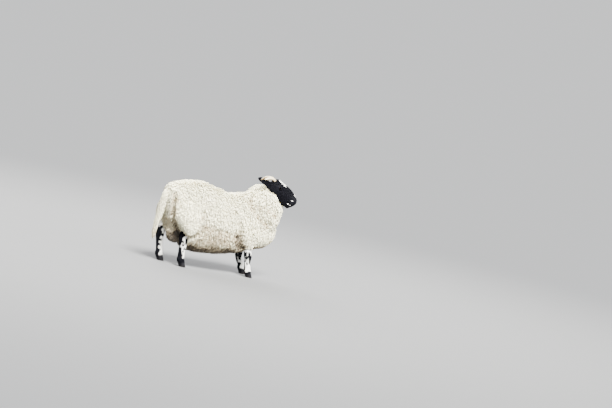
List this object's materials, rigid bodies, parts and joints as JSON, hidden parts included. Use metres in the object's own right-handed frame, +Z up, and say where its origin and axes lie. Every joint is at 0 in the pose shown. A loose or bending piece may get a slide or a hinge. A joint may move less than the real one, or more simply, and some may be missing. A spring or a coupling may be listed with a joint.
{
  "type": "sheep figure",
  "caption": "Life-size standing blackface sheep in full fleece with short curled horns, head turned a little to its right.",
  "frame": {"origin": "on the floor, under the middle of the animal's box", "axes": "+X towards the front of the animal, +Y to its left, +Z up"},
  "size_m": [1.0756, 0.3904, 0.8021],
  "materials": {
    "fleece": "cream wool in long locks",
    "black_hair": "short black hair",
    "pied_hair": "short hair, white with black patches",
    "horn": "ridged horn",
    "hoof": "dark claw horn",
    "eye": "wet brown eye"
  },
  "bodies": {
    "root": {"trunk": "fleece", "neck": "fleece", "tail": "fleece", "thigh_left": "fleece", "thigh_right": "fleece", "forearm_left": "fleece", "forearm_right": "fleece", "head": "black_hair", "ear_left": "black_hair", "ear_right": "black_hair", "eye_left": "eye", "eye_right": "eye", "horn_left": "horn", "horn_right": "horn", "hind_shank_left": "pied_hair", "hind_shank_right": "pied_hair", "fore_shank_left": "pied_hair", "fore_shank_right": "pied_hair", "hind_claw_left_outer": "hoof", "hind_claw_left_inner": "hoof", "hind_claw_right_outer": "hoof", "hind_claw_right_inner": "hoof", "fore_claw_left_outer": "hoof", "fore_claw_left_inner": "hoof", "fore_claw_right_outer": "hoof", "fore_claw_right_inner": "hoof"}
  },
  "joints": []
}
